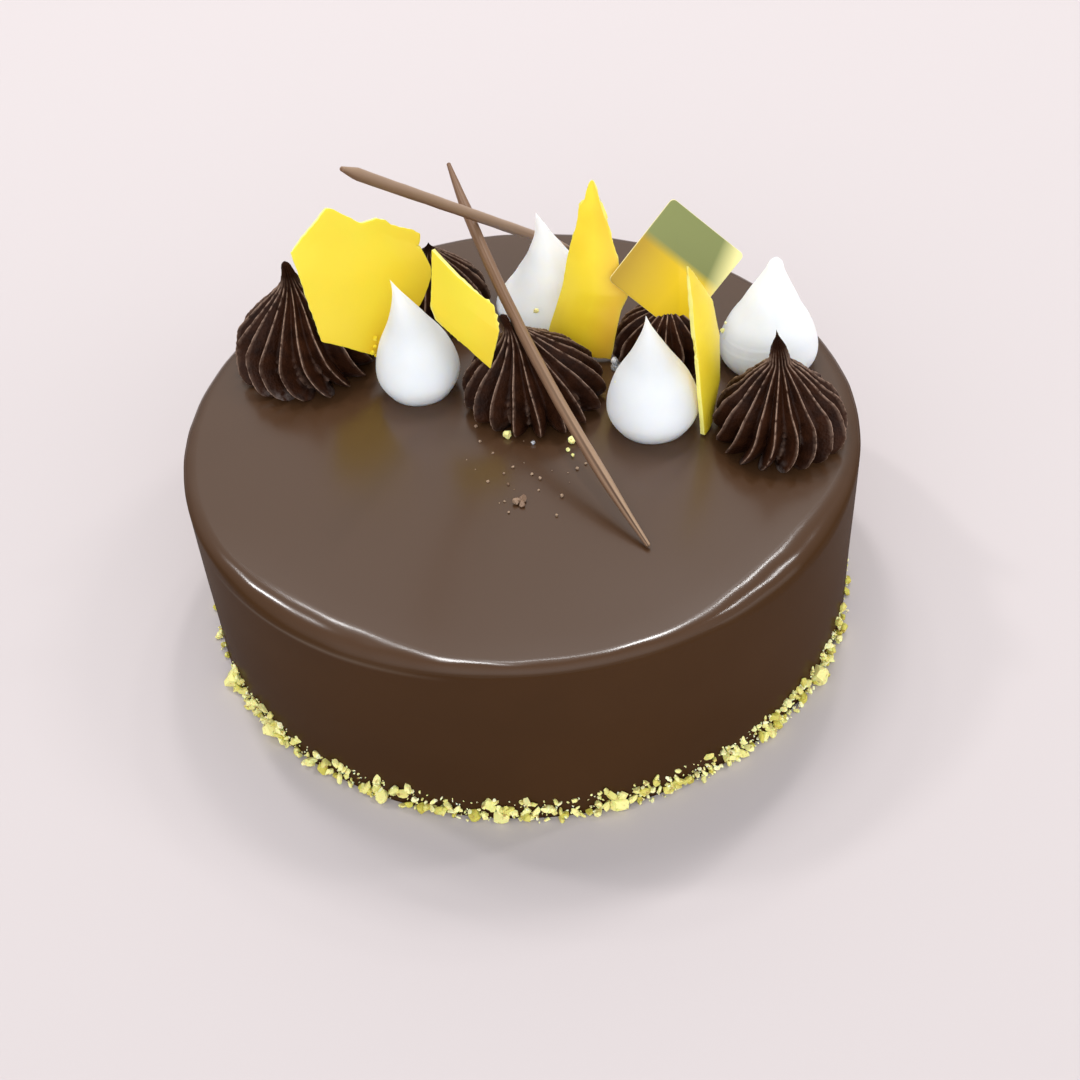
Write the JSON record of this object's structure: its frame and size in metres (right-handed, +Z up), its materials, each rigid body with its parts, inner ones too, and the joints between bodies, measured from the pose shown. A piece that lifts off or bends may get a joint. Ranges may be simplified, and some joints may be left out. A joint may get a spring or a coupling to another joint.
{
  "type": "chocolate mousse cake",
  "caption": "Round chocolate mousse cake in a smooth glaze, topped with piped rosettes, meringue drops, yellow chocolate shards, rolled sticks and a plain plaque; chopped nuts ring the foot.",
  "frame": {"origin": "centre of the cake's flat underside", "axes": "+Z up out of the top, -Y towards the front of the view, +X to the right seen from the front"},
  "size_m": [0.1829, 0.1833, 0.1369],
  "materials": {
    "glaze": "smooth satin-gloss chocolate glaze",
    "cream": "soft dark chocolate cream, fine-pored",
    "meringue": "smooth dry white meringue",
    "yellow_chocolate": "satin yellow chocolate",
    "milk_chocolate": "smooth rolled milk chocolate",
    "plaque_card": "satin colour field on a thin plaque",
    "nut": "chopped pistachio, dry and angular"
  },
  "bodies": {
    "root": {"cake": "glaze", "rosette_1": "cream", "rosette_2": "cream", "rosette_3": "cream", "rosette_4": "cream", "rosette_5": "cream", "meringue_1": "meringue", "meringue_2": "meringue", "meringue_3": "meringue", "meringue_4": "meringue", "shard_1": "yellow_chocolate", "shard_2": "yellow_chocolate", "shard_3": "yellow_chocolate", "shard_4": "yellow_chocolate", "stick_1": "milk_chocolate", "stick_2": "milk_chocolate", "plaque": "plaque_card"}
  },
  "joints": []
}
